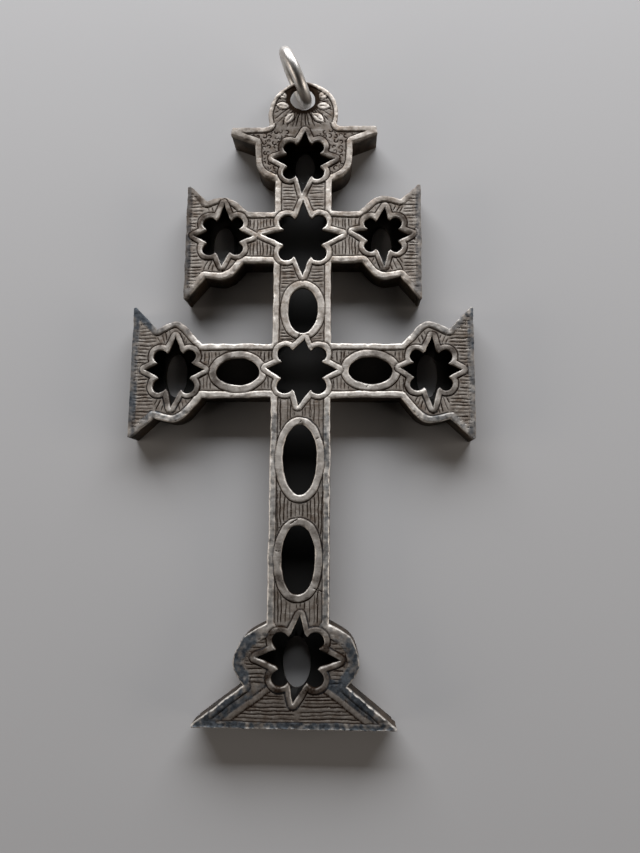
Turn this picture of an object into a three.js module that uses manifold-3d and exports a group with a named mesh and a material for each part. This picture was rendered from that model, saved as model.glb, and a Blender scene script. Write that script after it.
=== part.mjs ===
// A double-barred reliquary cross: a hollow silver case, pierced and engraved on the front, that lies
// on its back. Its back is a pierced cover, hinged at the foot and let in between the walls. A jump ring
// goes through a hole in the lug at the top. Millimetres: X to the right, Y up the cross, Z to the front.
// Heights along the cross are measured from the foot's lower edge. At the end the model is moved so that
// its origin is on the back, where the stem crosses the lower bar.

import * as THREE from 'three';
import { mergeVertices } from 'three/addons/utils/BufferGeometryUtils.js';
import Module from 'manifold-3d';

const wasm = await Module();
wasm.setup();

// The case, from back to front
const CASE_DEPTH = 4.0;
const COVER_THICKNESS = 0.6;
const WALL_THICKNESS = 0.6;
const FIELD_Z = 3.72;
const PLATE_UNDER_Z = 3.2;
const SOLDER_SEAM = 0.05;
const COVER_CLEARANCE = 0.15;

// Raised work on the front plate
const RIM_WIDTH = 0.8;
const LUG_RIM_WIDTH = 0.55;
const STAR_BAND = 0.65;
const OVAL_BAND = 0.95;

// The stem and the two bars: half widths and the heights of their middles
const STEM_HALF = 4.06;
const LOWER_BAR_Y = 46.93;
const LOWER_BAR_HALF = 3.79;
const UPPER_BAR_Y = 66.4;
const UPPER_BAR_HALF = 3.8;

// How far the ends reach
const LOWER_END_X = 23.8;
const UPPER_END_X = 16.8;
const TOP_END_Y = 83.3;

// How much of a sharp horn tip is worn off, measured along its two edges
const TIP_WEAR = 0.5;
const TOP_TIP_WEAR = 2.9;

// The foot sits a little to the left: the sideways shift of its lower edge, and where the shift begins
const FOOT_LEAN = { shift: -0.45, below: 13.1 };

// The lug and the ring
const LUG = { x: -0.15, y: 85.35, radius: 5.1, holeX: -0.25, holeY: 87.95, holeRadius: 1.85 };
const RING = { radius: 3.55, wire: 0.85, leanDegrees: 25, tiltDegrees: 6.5, x: -1.3, y: 90.7, z: 4.45 };

// The hinge along the foot's lower edge: three knuckles on one pin
const HINGE = { y: -0.1, z: 0.6, barrel: 0.55, bore: 0.33, knuckle: 1.94, gap: 0.06 };
const HINGE_PIN = { radius: 0.25, length: 6.2 };

// The catch: a bent strip on the cover that springs against the inside of the top wall
const TONGUE = { halfWidth: 1.6, thickness: 0.35, footY: 81.4, footThickness: 0.25, top: 2.7 };

// Square wires along the insides of the bars' end walls, on which the closed cover stops
const BEARER = { side: 0.6, length: 6 };

// Between these heights a side wall leaves the lower bar's horns and reaches the upper bar's
const BETWEEN_HORNS = { low: 56.5, high: 56.6 };

// Beyond everything, for the far sides of cutting blocks
const FAR = 100;

// The eight star windows: centre, tips of the right, upper, left and lower rays from there, size of the
// lobes, and how much lower the two lower lobes sit
const STARS = [
  { x: 0, y: 78.2, tips: [[4.5, 0.05], [0.2, 4.45], [-4.5, 0.28], [-0.16, -5.3]], lobe: 0.87, low: 0.15 },
  { x: 0, y: 66.4, tips: [[5.6, 0.3], [0, 5.55], [-5.9, 0.33], [0.05, -5.8]], lobe: 1, low: 0.2 },
  { x: -11.45, y: 66.6, tips: [[4.35, -0.1], [0, 4.85], [-4.2, 0], [-0.1, -4.55]], lobe: 0.85, low: 0.05 },
  { x: 11.4, y: 66.6, tips: [[4, 0.08], [0.3, 4.2], [-4.25, 0.5], [0.25, -4.6]], lobe: 0.78, low: 0 },
  { x: 0.1, y: 47, tips: [[5, 0.05], [0.36, 4.4], [-4.9, 0.3], [-0.5, -5.05]], lobe: 1, low: 0 },
  { x: -17.7, y: 47, tips: [[4.25, 0], [0.1, 4.75], [-4.15, 0], [-0.3, -5.4]], lobe: 0.87, low: 0.4 },
  { x: 17.9, y: 47, tips: [[4.3, 0], [0.2, 4.8], [-4.25, 0.3], [0.1, -5.25]], lobe: 0.85, low: 0.05 },
  { x: 0.05, y: 8.75, tips: [[5.45, -0.12], [0.25, 5.5], [-5.45, 0.05], [-0.55, -5.6]], lobe: 1, low: 0.35 },
];
// A star of lobe size 1: the corner beside an upright ray, the one beside a level ray, and the round lobe
const NOTCH_UPRIGHT = new THREE.Vector2(0.95, 3.15);
const NOTCH_LEVEL = new THREE.Vector2(2.9, 1.1);
const LOBE = { x: 2.3, y: 2.2, radius: 1.15 };
const QUARTERS = [[1, 1], [-1, 1], [-1, -1], [1, -1]];
// A band's tip is cut off this far beyond the tip of the ray
const BAND_TIP = 0.85;

// The five oval windows: centre, half width and half height, and how full the curve is (2 is an ellipse)
const OVALS = [
  { x: 0.13, y: 55.6, halfWidth: 2.1, halfHeight: 3.3, fullness: 2.1 },
  { x: -8.75, y: 46.72, halfWidth: 3.05, halfHeight: 1.95, fullness: 2 },
  { x: 9.6, y: 46.93, halfWidth: 3.05, halfHeight: 1.95, fullness: 2 },
  { x: -0.03, y: 34.6, halfWidth: 2.35, halfHeight: 4.8, fullness: 2 },
  { x: -0.1, y: 21.25, halfWidth: 2.25, halfHeight: 4.5, fullness: 2.2 },
];

// The upright oval openings in the back cover, behind the windows in the ends
const BACK_OVALS = [
  { x: 0, y: 78.8, halfWidth: 1.5, halfHeight: 2.5, fullness: 2 },
  { x: -11.9, y: 66.4, halfWidth: 1.6, halfHeight: 3.2, fullness: 2 },
  { x: 11.35, y: 66.2, halfWidth: 1.5, halfHeight: 3.2, fullness: 2 },
  { x: -18.2, y: 46.93, halfWidth: 1.55, halfHeight: 3.2, fullness: 2 },
  { x: 17.75, y: 46.93, halfWidth: 1.5, halfHeight: 3.2, fullness: 2 },
  { x: -0.3, y: 7.6, halfWidth: 1.9, halfHeight: 3.4, fullness: 2 },
];

// How finely curves are drawn
const LOBE_SIDES = 12;
const OVAL_SIDES = 20;
const BACK_OVAL_SIDES = 16;
const HOLE_SIDES = 28;
const LUG_SIDES = 48;
const CURVE_STEPS = 2;

// The end of an arm, drawn for the half that lies to the right of somebody who looks along it from the
// middle of the cross: where the bar stops, two points on the lobe, the hollow behind the horn, and the
// horn's sharp tip. The first number of each pair runs along the arm, the second away from its middle.
const FOOT_END = { root: [-13.1, STEM_HALF], lobe: [[-11.3, 7.0], [-8.4, 8.2], [-6.6, 7.7]],
  hollow: [-5.25, 6.75], tip: [0, 13.65], wear: TIP_WEAR };
const LOWER_END_BELOW = { root: [13.75, LOWER_BAR_HALF], lobe: [[15, 5.4], [16.3, 6.7], [17.9, 7.2]],
  hollow: [20.4, 6.65], tip: [LOWER_END_X, 9.85], wear: TIP_WEAR };
const LOWER_END_ABOVE = { root: [13.9, LOWER_BAR_HALF], lobe: [[15.2, 5.1], [16.3, 6.4], [17.8, 7.0]],
  hollow: [20.35, 5.9], tip: [LOWER_END_X, 9.45], wear: TIP_WEAR };
const UPPER_END_BELOW = { root: [8.45, UPPER_BAR_HALF], lobe: [[9.45, 5.05], [10.3, 5.75], [11.7, 6.25]],
  hollow: [13.85, 5.95], tip: [UPPER_END_X, 9.55], wear: TIP_WEAR };
const UPPER_END_ABOVE = { root: [8.0, UPPER_BAR_HALF], lobe: [[9.0, 4.7], [10.2, 5.7], [11.8, 6.1]],
  hollow: [13.9, 5.5], tip: [UPPER_END_X, 8.2], wear: TIP_WEAR };
const TOP_END = { root: [75.0, STEM_HALF], lobe: [[75.8, 5.7], [77.2, 6.75], [79.2, 7.05]],
  hollow: [80.85, 7.05], tip: [TOP_END_Y, 13.4], wear: TOP_TIP_WEAR };

const SILVER = { color: 0x8f8b85, roughness: 0.45, metalness: 0.9 };
const DARK_SILVER = { color: 0x6d6862, roughness: 0.6, metalness: 0.85 };
const BRIGHT_WIRE = { color: 0xb5b0a6, roughness: 0.3, metalness: 1 };

// Solids and meshes

function solidOf(geometry) {
  const bare = geometry.clone();
  bare.deleteAttribute('normal');
  bare.deleteAttribute('uv');
  const merged = mergeVertices(bare, 1e-5);
  return new wasm.Manifold(new wasm.Mesh({
    numProp: 3,
    vertProperties: new Float32Array(merged.attributes.position.array),
    triVerts: new Uint32Array(merged.index.array),
  }));
}

function geometryOf(solid) {
  const mesh = solid.getMesh();
  const geometry = new THREE.BufferGeometry();
  geometry.setAttribute('position', new THREE.BufferAttribute(new Float32Array(mesh.vertProperties), 3));
  geometry.setIndex(new THREE.BufferAttribute(new Uint32Array(mesh.triVerts), 1));
  geometry.computeVertexNormals();
  return geometry;
}

function slab(points, fromZ, toZ) {
  const shape = new THREE.Shape(points);
  const geometry = new THREE.ExtrudeGeometry(shape, { depth: toZ - fromZ, bevelEnabled: false });
  return solidOf(geometry.translate(0, 0, fromZ));
}

function block(lowX, highX, lowY, highY, lowZ, highZ) {
  const geometry = new THREE.BoxGeometry(highX - lowX, highY - lowY, highZ - lowZ);
  return solidOf(geometry.translate((lowX + highX) / 2, (lowY + highY) / 2, (lowZ + highZ) / 2));
}

function joined(solids) {
  return solids.reduce((all, next) => all.add(next));
}

function disc(x, y, radius, fromZ, toZ, sides) {
  const points = Array.from({ length: sides }, (_, i) => {
    const angle = (i / sides) * 2 * Math.PI;
    return new THREE.Vector2(x + radius * Math.cos(angle), y + radius * Math.sin(angle));
  });
  return slab(points, fromZ, toZ);
}

// A tube or rod along X, centred on the hinge's axis
function barrel(outer, inner, length, middleX) {
  const half = length / 2;
  const profile = inner > 0
    ? [[inner, -half], [outer, -half], [outer, half], [inner, half], [inner, -half]]
    : [[0, -half], [outer, -half], [outer, half], [0, half]];
  const geometry = new THREE.LatheGeometry(profile.map(([r, t]) => new THREE.Vector2(r, t)), 20);
  geometry.rotateZ(Math.PI / 2);
  return solidOf(geometry.translate(middleX, HINGE.y, HINGE.z));
}

// Outlines

// Moves every edge of a counter-clockwise outline inwards by the distance that distanceOf gives for it
function inset(points, distanceOf) {
  return points.map((point, i) => {
    const before = points.at(i - 1);
    const after = points[(i + 1) % points.length];
    const arriving = point.clone().sub(before).normalize();
    const leaving = after.clone().sub(point).normalize();
    const a = distanceOf(before, point);
    const b = distanceOf(point, after);
    const turn = arriving.cross(leaving);
    if (Math.abs(turn) < 1e-6) {
      return new THREE.Vector2(point.x - arriving.y * a, point.y + arriving.x * a);
    }
    return new THREE.Vector2(
      point.x + (a * leaving.x - b * arriving.x) / turn,
      point.y + (a * leaving.y - b * arriving.y) / turn,
    );
  });
}

// One half of an arm's end, from its root to its horn, as points along and away from the arm
function endHalf({ root, lobe, hollow, tip, wear }, worn) {
  const knots = [root, ...lobe, hollow].map(([along, away]) => new THREE.Vector2(along, away));
  const curve = new THREE.SplineCurve(knots).getPoints(CURVE_STEPS * (knots.length - 1));
  const sharp = new THREE.Vector2(...tip);
  if (!worn) {
    return [...curve, sharp];
  }
  const backToHollow = curve.at(-1).clone().sub(sharp).normalize();
  const backAlongEdge = new THREE.Vector2(0, -1);
  return [
    ...curve,
    sharp.clone().addScaledVector(backToHollow, wear),
    sharp.clone().addScaledVector(backAlongEdge, wear),
  ];
}

// The right half of the cross, from the foot up, then its mirror image on the way down
function outline(worn) {
  const along = ({ x, y }) => new THREE.Vector2(y, x);
  const foot = endHalf(FOOT_END, worn).map((p) => new THREE.Vector2(p.y, -p.x)).reverse();
  const rightEnd = (end, barY, side) => endHalf(end, worn)
    .map((p) => new THREE.Vector2(p.x, barY + side * p.y));
  const half = [
    ...foot,
    new THREE.Vector2(STEM_HALF, LOWER_BAR_Y - LOWER_BAR_HALF),
    ...rightEnd(LOWER_END_BELOW, LOWER_BAR_Y, -1),
    ...rightEnd(LOWER_END_ABOVE, LOWER_BAR_Y, 1).reverse(),
    new THREE.Vector2(STEM_HALF, LOWER_BAR_Y + LOWER_BAR_HALF),
    new THREE.Vector2(STEM_HALF, UPPER_BAR_Y - UPPER_BAR_HALF),
    ...rightEnd(UPPER_END_BELOW, UPPER_BAR_Y, -1),
    ...rightEnd(UPPER_END_ABOVE, UPPER_BAR_Y, 1).reverse(),
    new THREE.Vector2(STEM_HALF, UPPER_BAR_Y + UPPER_BAR_HALF),
    ...endHalf(TOP_END, worn).map(along),
  ];
  const mirrored = half.map((p) => new THREE.Vector2(-p.x, p.y)).reverse();
  const leaning = (p) => FOOT_LEAN.shift * Math.max(0, 1 - p.y / FOOT_LEAN.below);
  return [...half, ...mirrored].map((p) => new THREE.Vector2(p.x + leaning(p), p.y));
}

const WORN_OUTLINE = outline(true);
const SHARP_OUTLINE = outline(false);

function insetAll(distance) {
  return inset(SHARP_OUTLINE, () => distance);
}

function oval({ x, y, halfWidth, halfHeight, fullness }, grow, sides) {
  const power = 2 / fullness;
  return Array.from({ length: sides }, (_, i) => {
    const angle = (i / sides) * 2 * Math.PI;
    const c = Math.cos(angle);
    const s = Math.sin(angle);
    return new THREE.Vector2(
      x + (halfWidth + grow) * Math.sign(c) * Math.abs(c) ** power,
      y + (halfHeight + grow) * Math.sign(s) * Math.abs(s) ** power,
    );
  });
}

// Cuts off the corner of an outline where it reaches beyond a distance from the centre
function cutCorner(before, corner, after, centre, distance) {
  const way = corner.clone().sub(centre).normalize();
  const reach = (point) => point.clone().sub(centre).dot(way);
  return [before, after].map((other) => (
    corner.clone().lerp(other, (reach(corner) - distance) / (reach(corner) - reach(other)))
  ));
}

// A star: four rays that meet at eight notches, and a round lobe between each two of them
function star({ x, y, tips, lobe, low }, grow, fromZ, toZ) {
  const drop = (sideY) => (sideY < 0 ? low : 0);
  const corners = [];
  QUARTERS.forEach(([sideX, sideY], quarter) => {
    const level = [sideX * NOTCH_LEVEL.x * lobe, sideY * NOTCH_LEVEL.y * lobe];
    const upright = [sideX * NOTCH_UPRIGHT.x * lobe, sideY * NOTCH_UPRIGHT.y * lobe - drop(sideY)];
    corners.push(tips[quarter], ...(quarter % 2 === 0 ? [level, upright] : [upright, level]));
  });
  const centre = new THREE.Vector2(x, y);
  const points = inset(corners.map(([dx, dy]) => new THREE.Vector2(x + dx, y + dy)), () => -grow);
  const trimmed = points.flatMap((point, i) => {
    if (grow === 0 || i % 3 > 0) {
      return [point];
    }
    const distance = Math.hypot(...tips[i / 3]) + BAND_TIP;
    return cutCorner(points.at(i - 1), point, points[i + 1], centre, distance);
  });
  const lobes = QUARTERS.map(([sideX, sideY]) => disc(
    x + sideX * LOBE.x * lobe,
    y + sideY * LOBE.y * lobe - drop(sideY),
    LOBE.radius * lobe + grow,
    fromZ,
    toZ,
    LOBE_SIDES,
  ));
  return joined([slab(trimmed, fromZ, toZ), ...lobes]);
}

// The pieces

function frontGrille() {
  const above = CASE_DEPTH + 1;
  const lugDisc = (radius, fromZ, toZ) => disc(LUG.x, LUG.y, radius, fromZ, toZ, LUG_SIDES);
  const whole = slab(WORN_OUTLINE, PLATE_UNDER_Z, CASE_DEPTH)
    .add(lugDisc(LUG.radius, PLATE_UNDER_Z, CASE_DEPTH));
  const sunk = slab(insetAll(RIM_WIDTH), FIELD_Z, above)
    .add(lugDisc(LUG.radius - LUG_RIM_WIDTH, FIELD_Z, above));
  const starBands = STARS.map((each) => star(each, STAR_BAND, PLATE_UNDER_Z, CASE_DEPTH));
  const ovalBands = OVALS.map((each) => slab(oval(each, OVAL_BAND, OVAL_SIDES), PLATE_UNDER_Z, CASE_DEPTH));
  const bands = joined([...starBands, ...ovalBands]).intersect(whole);
  const windows = joined([
    ...STARS.map((each) => star(each, 0, 0, above)),
    ...OVALS.map((each) => slab(oval(each, 0, OVAL_SIDES), 0, above)),
    disc(LUG.holeX, LUG.holeY, LUG.holeRadius, 0, above, HOLE_SIDES),
  ]);
  return whole.subtract(sunk).add(bands).subtract(windows);
}

// Room for the hinge's knuckles, cut out of the foot's wall and of the cover
function hingeGroove() {
  return barrel(HINGE.barrel + SOLDER_SEAM, 0, HINGE_PIN.length + 2 * HINGE.gap, 0);
}

// The walls are strips of sheet, soldered together at the tips of the horns
function caseWalls() {
  const top = PLATE_UNDER_Z - SOLDER_SEAM;
  const band = slab(WORN_OUTLINE, 0, top).subtract(slab(insetAll(WALL_THICKNESS), -1, top + 1));
  const innerTop = TOP_END_Y - WALL_THICKNESS;
  const innerLower = LOWER_END_X - WALL_THICKNESS;
  const innerUpper = UPPER_END_X - WALL_THICKNESS;
  const { low, high } = BETWEEN_HORNS;
  const belowTop = innerTop - SOLDER_SEAM;
  const insideLower = innerLower - SOLDER_SEAM;
  const insideUpper = innerUpper - SOLDER_SEAM;
  const region = {
    end_wall_top: block(-FAR, FAR, innerTop, FAR, 0, top),
    end_wall_upper_left: block(-FAR, -innerUpper, high, belowTop, 0, top),
    end_wall_upper_right: block(innerUpper, FAR, high, belowTop, 0, top),
    end_wall_lower_left: block(-FAR, -innerLower, 0, low, 0, top),
    end_wall_lower_right: block(innerLower, FAR, 0, low, 0, top),
    end_wall_foot: block(-FAR, FAR, -1, WALL_THICKNESS, COVER_THICKNESS + SOLDER_SEAM, top)
      .subtract(hingeGroove()),
    side_wall_top_left: block(-insideUpper, 0, UPPER_BAR_Y, belowTop, 0, top),
    side_wall_top_right: block(0, insideUpper, UPPER_BAR_Y, belowTop, 0, top),
    side_wall_middle_left: block(-insideLower, 0, LOWER_BAR_Y, high, 0, top)
      .add(block(-insideUpper, 0, low, UPPER_BAR_Y, 0, top)),
    side_wall_middle_right: block(0, insideLower, LOWER_BAR_Y, high, 0, top)
      .add(block(0, insideUpper, low, UPPER_BAR_Y, 0, top)),
    side_wall_lower_left: block(-insideLower, 0, WALL_THICKNESS + SOLDER_SEAM, LOWER_BAR_Y, 0, top),
    side_wall_lower_right: block(0, insideLower, WALL_THICKNESS + SOLDER_SEAM, LOWER_BAR_Y, 0, top),
  };
  return Object.entries(region).map(([name, part]) => [name, band.intersect(part)]);
}

function bearer(endX, middleY) {
  const outer = Math.sign(endX) * (Math.abs(endX) - WALL_THICKNESS - SOLDER_SEAM);
  const inner = outer - Math.sign(endX) * BEARER.side;
  const under = COVER_THICKNESS + SOLDER_SEAM;
  return block(
    Math.min(outer, inner),
    Math.max(outer, inner),
    middleY - BEARER.length / 2,
    middleY + BEARER.length / 2,
    under,
    under + BEARER.side,
  );
}

// The cover lies between the walls, but at the foot it reaches the outside, under the foot's wall
function backCover() {
  const room = WALL_THICKNESS + COVER_CLEARANCE;
  const isFootEdge = (from, to) => Math.abs(from.y) < 1e-6 && Math.abs(to.y) < 1e-6;
  const edge = inset(SHARP_OUTLINE, (from, to) => (isFootEdge(from, to) ? 0 : room));
  const plate = slab(edge, 0, COVER_THICKNESS);
  const openings = joined(BACK_OVALS.map((each) => (
    slab(oval(each, 0, BACK_OVAL_SIDES), -1, COVER_THICKNESS + 1)
  )));
  return plate.subtract(openings).subtract(hingeGroove());
}

function catchTongue() {
  const { halfWidth, thickness, footY, footThickness, top } = TONGUE;
  const under = COVER_THICKNESS + SOLDER_SEAM;
  const outerY = TOP_END_Y - WALL_THICKNESS - COVER_CLEARANCE;
  const foot = block(-halfWidth, halfWidth, footY, outerY, under, under + footThickness);
  const upright = block(-halfWidth, halfWidth, outerY - thickness, outerY, under, top);
  return foot.add(upright);
}

function hingeKnuckle(place) {
  return barrel(HINGE.barrel, HINGE.bore, HINGE.knuckle, place * (HINGE.knuckle + HINGE.gap));
}

// The ring stands on edge: its lowest point is at the height of the back, and its wire goes through the lug
function jumpRing() {
  const geometry = new THREE.TorusGeometry(RING.radius, RING.wire, 14, 40);
  const lean = THREE.MathUtils.degToRad(RING.leanDegrees);
  const tilt = THREE.MathUtils.degToRad(RING.tiltDegrees);
  geometry.rotateY(Math.PI / 2 - tilt);
  geometry.rotateZ(lean);
  return solidOf(geometry.translate(RING.x, RING.y, RING.z));
}

// The whole

const group = new THREE.Group();
group.name = 'reliquary_cross';

function addPiece(name, solid, look) {
  const geometry = geometryOf(solid).translate(0, -LOWER_BAR_Y, 0);
  const mesh = new THREE.Mesh(geometry, new THREE.MeshStandardMaterial(look));
  mesh.name = name;
  group.add(mesh);
}

addPiece('front_grille', frontGrille(), SILVER);
caseWalls().forEach(([name, solid]) => addPiece(name, solid, DARK_SILVER));
addPiece('bearer_upper_left', bearer(-UPPER_END_X, UPPER_BAR_Y), DARK_SILVER);
addPiece('bearer_upper_right', bearer(UPPER_END_X, UPPER_BAR_Y), DARK_SILVER);
addPiece('bearer_lower_left', bearer(-LOWER_END_X, LOWER_BAR_Y), DARK_SILVER);
addPiece('bearer_lower_right', bearer(LOWER_END_X, LOWER_BAR_Y), DARK_SILVER);
addPiece('hinge_knuckle_left', hingeKnuckle(-1), DARK_SILVER);
addPiece('hinge_knuckle_right', hingeKnuckle(1), DARK_SILVER);
addPiece('hinge_pin', barrel(HINGE_PIN.radius, 0, HINGE_PIN.length, 0), BRIGHT_WIRE);
addPiece('back_cover', backCover(), SILVER);
addPiece('catch_tongue', catchTongue(), DARK_SILVER);
addPiece('hinge_knuckle_cover', hingeKnuckle(0), DARK_SILVER);
addPiece('jump_ring', jumpRing(), BRIGHT_WIRE);

export default group;
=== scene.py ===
# %% [markdown]
# # A silver reliquary cross
# The real thing is a hollow double-barred cross that opens at the back and once held a relic. Its front is a
# cast silver plate, pierced with stars and ovals and engraved by hand. It lies on its back on a pale sheet.
# The CAD model comes in first. It is the skeleton: everything below is fitted to it and moves with it.

# %% Load the frame
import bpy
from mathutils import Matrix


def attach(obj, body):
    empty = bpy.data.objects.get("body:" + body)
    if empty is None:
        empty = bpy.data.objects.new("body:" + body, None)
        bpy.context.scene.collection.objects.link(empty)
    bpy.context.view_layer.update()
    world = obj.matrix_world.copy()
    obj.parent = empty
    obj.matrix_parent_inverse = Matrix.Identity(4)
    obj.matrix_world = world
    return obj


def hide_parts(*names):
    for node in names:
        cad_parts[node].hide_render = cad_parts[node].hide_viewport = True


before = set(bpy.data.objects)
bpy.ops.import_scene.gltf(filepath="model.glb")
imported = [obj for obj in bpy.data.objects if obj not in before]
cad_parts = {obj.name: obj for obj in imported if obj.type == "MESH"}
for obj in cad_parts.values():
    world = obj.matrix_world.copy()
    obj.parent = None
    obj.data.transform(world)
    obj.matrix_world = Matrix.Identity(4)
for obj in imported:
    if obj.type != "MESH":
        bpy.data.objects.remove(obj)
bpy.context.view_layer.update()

# %% [markdown]
# ## Working in millimetres
# A cross of 9 cm is easier to read in millimetres, with heights counted from the foot's lower edge. Blender
# works in metres, and the frame's origin is on the back where the stem crosses the lower bar, so one small
# function turns the one into the other.

# %% Measures
import math
import random

import bmesh
import bpy
import numpy as np
from mathutils import Vector, kdtree, noise
from mathutils.geometry import delaunay_2d_cdt

MM = 0.001
# Half widths of the stem and the two bars.
STEM_HALF, LOWER_HALF, UPPER_HALF = 4.06, 3.79, 3.8
# Heights of the bars' middles, and one between them that tells the two bars apart.
LOWER_Y, UPPER_Y, BETWEEN_BARS = 46.93, 66.4, 56.5
# How far the bars and the stem reach, horns included.
LOWER_END, UPPER_END, TOP_END = 23.8, 16.8, 83.3
# Thickness of the walls, and the heights of the front plate's two sides.
WALL, PLATE_UNDER, PLATE_TOP = 0.6, 3.2, 4.0


def metres(points):
    """Turns rows of x, y from the foot, z in millimetres into the frame's metres."""
    return (np.asarray(points, float) - [0, LOWER_Y, 0]) * MM


# %% [markdown]
# ## Camera
# The photograph was taken from close by, from a little above the crossing's right side, so the far walls of
# the case show beside the bars. A 26 mm lens at about 87 mm over the floor gives the same view.

# %% Camera
camera = bpy.data.objects.new("camera", bpy.data.cameras.new("camera"))
bpy.context.collection.objects.link(camera)
camera.location = (0.00573, -0.01938, 0.08687)
camera.rotation_mode = "YXZ"
camera.rotation_euler = (math.radians(7.93), math.radians(2.05), math.radians(0.20))
camera.data.sensor_width = 36
camera.data.lens = 26.0
camera.data.clip_start = 0.001
bpy.context.scene.camera = camera
print("camera", round(camera.location.z / MM, 1), "mm over the floor")

# %% [markdown]
# ## Light and floor
# A wide window lies beyond the top of the cross, and weak light comes in low from both sides. Low light draws
# every engraved line, and the space between the bars stays dark because the walls keep it off. The room
# itself gives next to nothing, but a camera that looks past the floor sees a pale wall.

# %% Colours and nodes


def linear(code):
    """An sRGB colour such as #8a857e as the linear numbers that Blender calculates with."""
    parts = [int(code[i:i + 2], 16) / 255 for i in (1, 3, 5)]
    return [c / 12.92 if c <= 0.04045 else ((c + 0.055) / 1.055) ** 2.4 for c in parts] + [1]


def empty_tree(owner):
    """The node tree of a material or a world, without the ready-made nodes."""
    owner.use_nodes = True
    owner.node_tree.nodes.clear()
    return owner.node_tree


def add(tree, kind, inputs, **settings):
    """Adds a node with its settings and inputs: values, outputs, or nodes for their first output."""
    node = tree.nodes.new(kind)
    for name, value in settings.items():
        setattr(node, name, value)
    for name, value in inputs.items():
        value = value.outputs[0] if isinstance(value, bpy.types.Node) else value
        if isinstance(value, bpy.types.NodeSocket):
            tree.links.new(value, node.inputs[name])
        else:
            node.inputs[name].default_value = value
    return node


# %% Floor
bpy.ops.object.select_all(action="DESELECT")
# A hair below the cross, so that no two faces share a plane.
bpy.ops.mesh.primitive_plane_add(size=0.64, location=(0, 0, -0.00002))
floor = bpy.context.object
floor.name = "floor"
# Pale matt paper: it shows the shadows softly and has no shine of its own.
paper = bpy.data.materials.new("pale_matt_paper")
sheet_tree = empty_tree(paper)
matt = add(sheet_tree, "ShaderNodeBsdfPrincipled", {"Base Color": linear("#bab8b6"), "Roughness": 0.9,
                                                    "Specular IOR Level": 0.2})
add(sheet_tree, "ShaderNodeOutputMaterial", {"Surface": matt})
floor.data.materials.append(paper)

# %% Lamps


def soft_lamp(name, place, size, power, colour):
    """A lamp at place that looks at the cross: place in metres, size wide and high."""
    lamp = bpy.data.lights.new(name, "AREA")
    lamp.shape = "RECTANGLE"
    lamp.size, lamp.size_y = size
    lamp.energy = power
    lamp.color = linear(colour)[:3]
    lamp_object = bpy.data.objects.new(name, lamp)
    bpy.context.collection.objects.link(lamp_object)
    lamp_object.location = place
    lamp_object.rotation_euler = (-Vector(place)).to_track_quat("-Z", "Y").to_euler()


soft_lamp("window_light", (0, 0.355, 0.176), (0.56, 0.18), 3.3, "#f6f9ff")
for name, side in (("left_fill", -1), ("right_fill", 1)):
    soft_lamp(name, (side * 0.42, -0.08, 0.115), (0.30, 0.12), 0.56, "#fff5ec")
world = bpy.data.worlds.new("room")
bpy.context.scene.world = world
room = empty_tree(world)
dim = add(room, "ShaderNodeBackground", {"Color": linear("#e6e8ee"), "Strength": 0.006})
pale = add(room, "ShaderNodeBackground", {"Color": linear("#b4b4b5")})
camera_ray = add(room, "ShaderNodeLightPath", {}).outputs["Is Camera Ray"]
both = add(room, "ShaderNodeMixShader", {0: camera_ray, 1: dim, 2: pale})
add(room, "ShaderNodeOutputWorld", {"Surface": both})
bpy.context.scene.view_settings.view_transform = "Standard"

# %% [markdown]
# ## The front's outline
# Each arm ends in a round lobe, a hollow and a pointed horn. One half of such an end is a smooth curve
# through a few measured points, and the whole outline is six ends put together with the straight bars.

# %% Measured ends
# Along the arm and away from its middle: the curve from the straight edge over the lobe to the hollow, then
# the horn's tip, and how much of the tip is worn off.
FOOT = ([(-13.1, STEM_HALF), (-11.3, 7.0), (-8.4, 8.2), (-6.6, 7.7), (-5.25, 6.75)], (0, 13.65), 0.5)
LOWER_DOWN = ([(13.75, LOWER_HALF), (15, 5.4), (16.3, 6.7), (17.9, 7.2), (20.4, 6.65)],
              (LOWER_END, 9.85), 0.5)
LOWER_UP = ([(13.9, LOWER_HALF), (15.2, 5.1), (16.3, 6.4), (17.8, 7.0), (20.35, 5.9)], (LOWER_END, 9.45), 0.5)
UPPER_DOWN = ([(8.45, UPPER_HALF), (9.45, 5.05), (10.3, 5.75), (11.7, 6.25), (13.85, 5.95)],
              (UPPER_END, 9.55), 0.5)
UPPER_UP = ([(8.0, UPPER_HALF), (9.0, 4.7), (10.2, 5.7), (11.8, 6.1), (13.9, 5.5)], (UPPER_END, 8.2), 0.5)
TOP = ([(75.0, STEM_HALF), (75.8, 5.7), (77.2, 6.75), (79.2, 7.05), (80.85, 7.05)], (TOP_END, 13.4), 2.9)
LUG_AT, LUG_RADIUS = np.array([-0.15, 85.35]), 5.1
HOLE_AT, HOLE_RADIUS = np.array([-0.25, 87.95]), 1.85
# How far the foot leans over, and below which height.
FOOT_LEAN, FOOT_BELOW = -0.45, 13.1

# %% Curves


def smooth_curve(knots, steps=10):
    """Points of a Catmull-Rom curve through the knots."""
    knots = np.array(knots, float)
    padded = np.vstack([2 * knots[0] - knots[1], knots, 2 * knots[-1] - knots[-2]])
    rows = []
    for i in range(len(knots) - 1):
        a, b, c, d = padded[i:i + 4]
        a = b if i == 0 else a
        d = c if i == len(knots) - 2 else d
        for t in np.arange(steps) / steps:
            rows.append(0.5 * (2 * b + (c - a) * t + (2 * a - 5 * b + 4 * c - d) * t ** 2
                               + (3 * b - a - 3 * c + d) * t ** 3))
    return np.array(rows + [knots[-1]])


def end_half(end, worn):
    """One half of an arm's end as (along the arm, away from it), its horn's tip worn off if asked."""
    knots, tip, wear = end
    curve, tip = smooth_curve(knots), np.array(tip, float)
    if not worn:
        return np.vstack([curve, tip])
    back = (curve[-1] - tip) / np.linalg.norm(curve[-1] - tip)
    return np.vstack([curve, tip + back * wear, tip - [0, wear]])


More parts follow.
